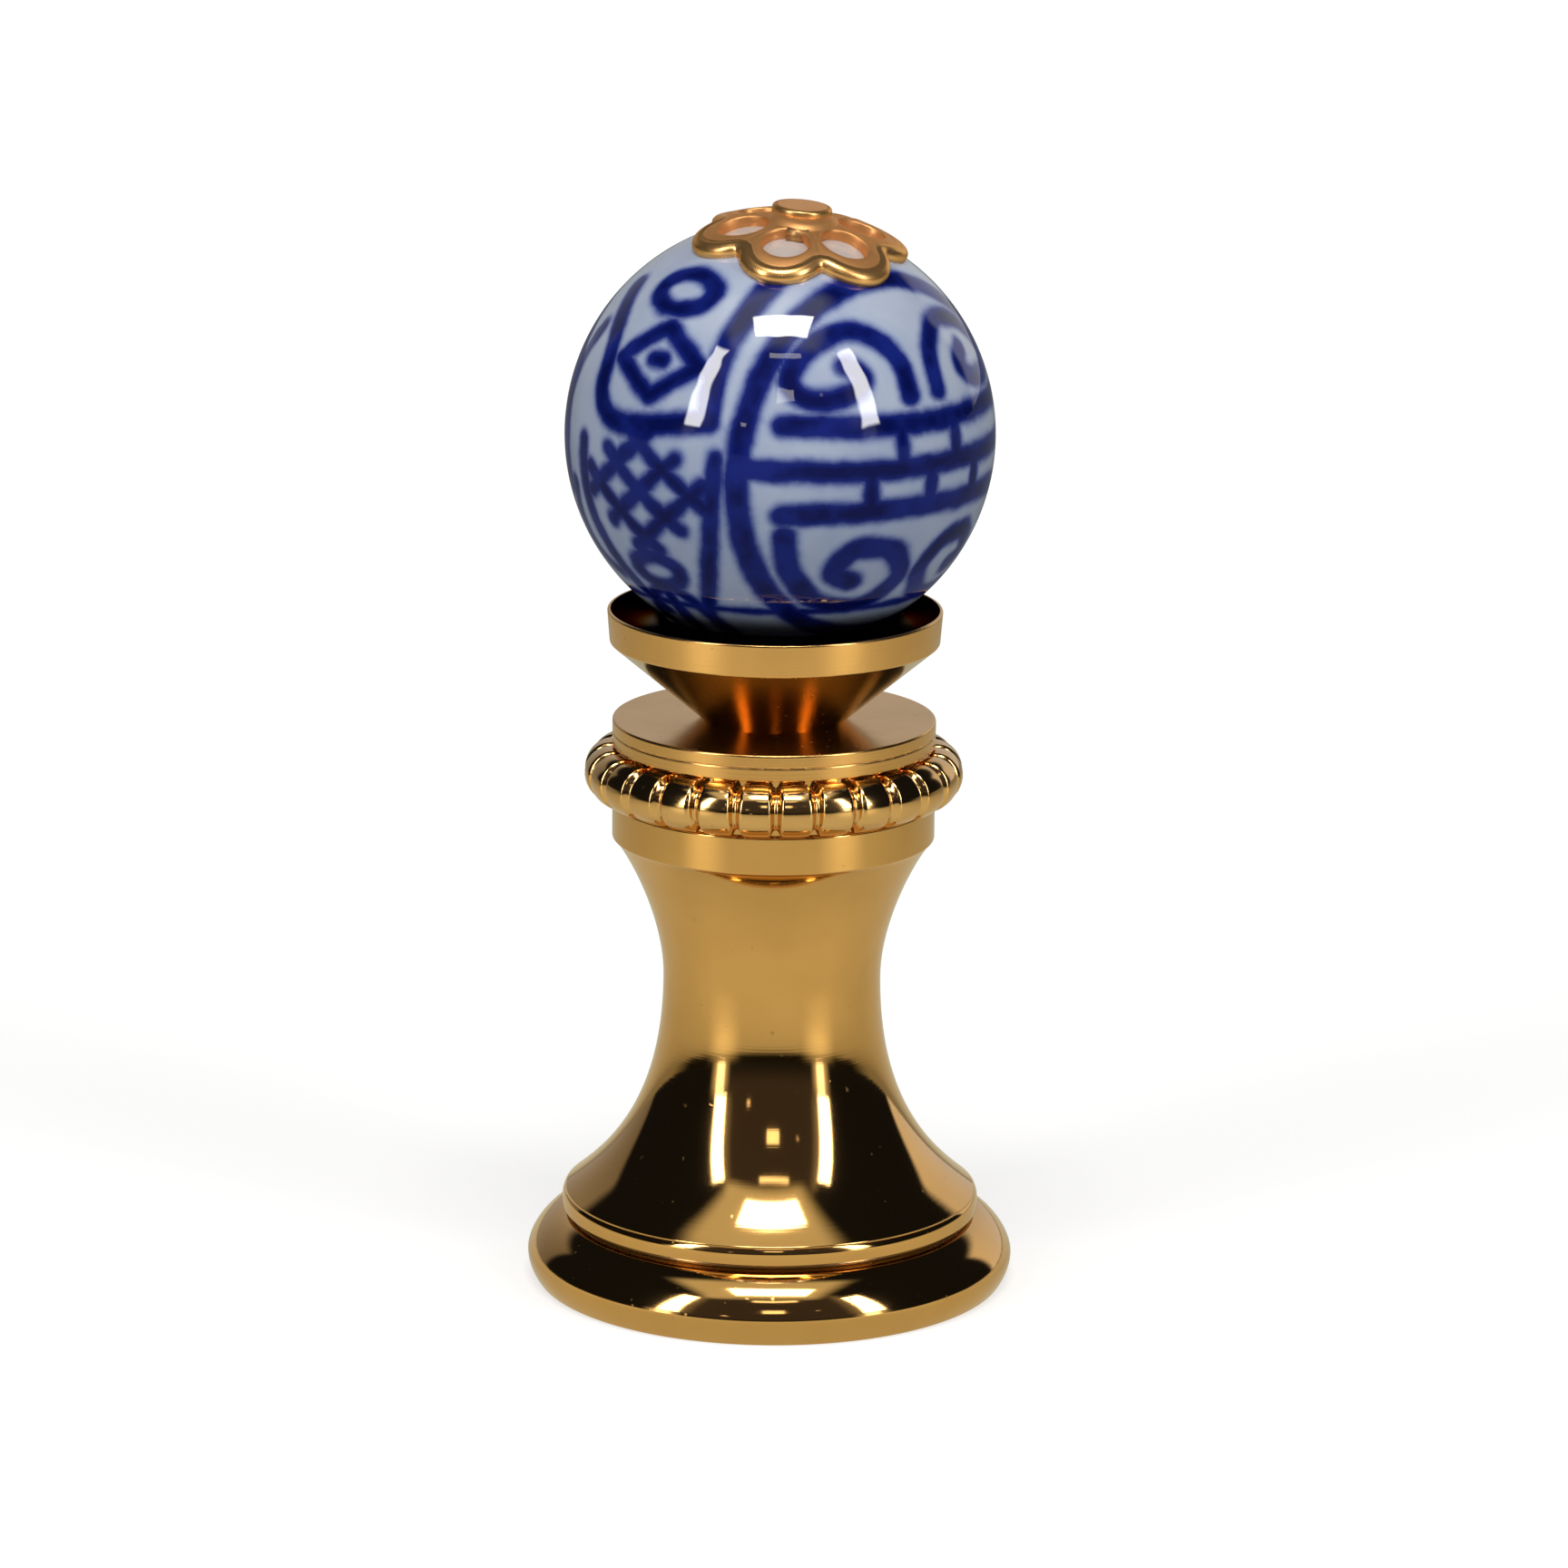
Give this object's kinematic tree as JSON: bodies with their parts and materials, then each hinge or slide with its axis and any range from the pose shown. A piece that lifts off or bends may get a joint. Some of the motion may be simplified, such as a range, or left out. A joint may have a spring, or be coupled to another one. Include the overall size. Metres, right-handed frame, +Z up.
{
  "type": "lamp finial",
  "caption": "Turned brass lamp finial with a beaded collar, a seat cup, a blue and white porcelain ball and an openwork flower cap.",
  "frame": {"origin": "centre of the foot's flat underside", "axes": "+Z up along the turned axis, -Y towards the viewer of the picture, +X to the viewer's right"},
  "size_m": [0.023, 0.023, 0.0519],
  "materials": {
    "polished_brass": "polished and lacquered, with fine turning marks",
    "satin_brass": "satin turned, lacquered",
    "porcelain_glaze": "glossy clear glaze over painted cobalt blue strokes",
    "copper_gilt": "stamped sheet with a warm copper gilt and bright raised edges",
    "button_gilt": "warm gilt, matt top with a bright edge"
  },
  "bodies": {
    "root": {"brass_base": "polished_brass", "seat_cup": "satin_brass", "porcelain_ball": "porcelain_glaze", "bead_cap": "copper_gilt", "cap_button": "button_gilt"}
  },
  "joints": []
}
